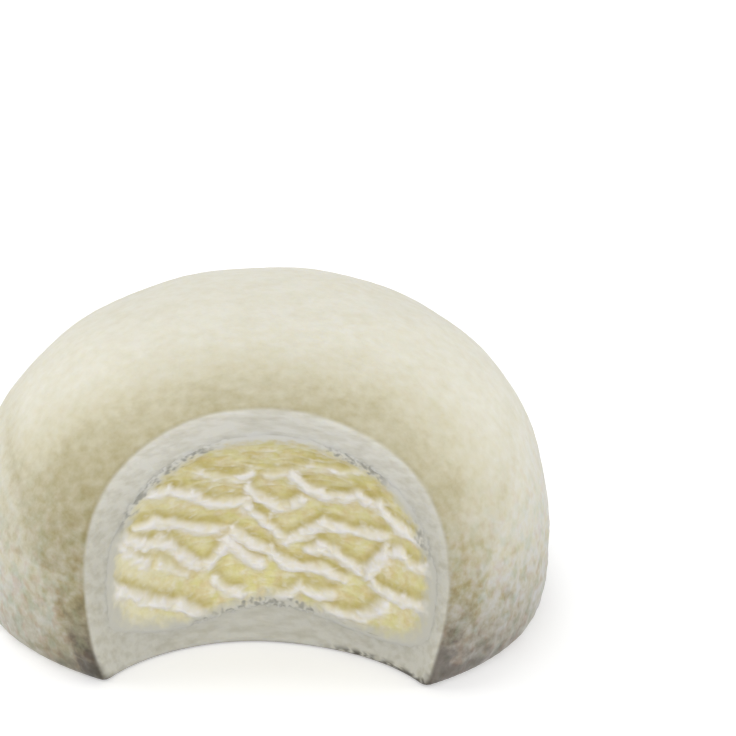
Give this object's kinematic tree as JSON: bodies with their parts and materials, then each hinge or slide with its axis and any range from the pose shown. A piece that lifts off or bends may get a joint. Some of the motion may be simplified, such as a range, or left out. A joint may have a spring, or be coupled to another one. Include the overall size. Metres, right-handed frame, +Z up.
{
  "type": "mochi ice cream with a bite taken",
  "caption": "Bitten mochi rice cake: a soft dusted dough dome round a vanilla ice cream filling, with a scooped bite that shows the torn, ridged filling.",
  "frame": {"origin": "on the table, at the middle of the flat underside, on the dome's axis", "axes": "+Z up, the bitten side faces -Y, +X to the right when looking into the bite"},
  "size_m": [0.0504, 0.046, 0.027],
  "materials": {
    "mochi_dough": "matte, dusted with starch, slightly translucent where cut",
    "vanilla_ice_cream": "satin, pale yellow in the hollows and whiter on the crests"
  },
  "bodies": {
    "root": {"mochi_skin": "mochi_dough", "ice_cream": "vanilla_ice_cream"}
  },
  "joints": []
}
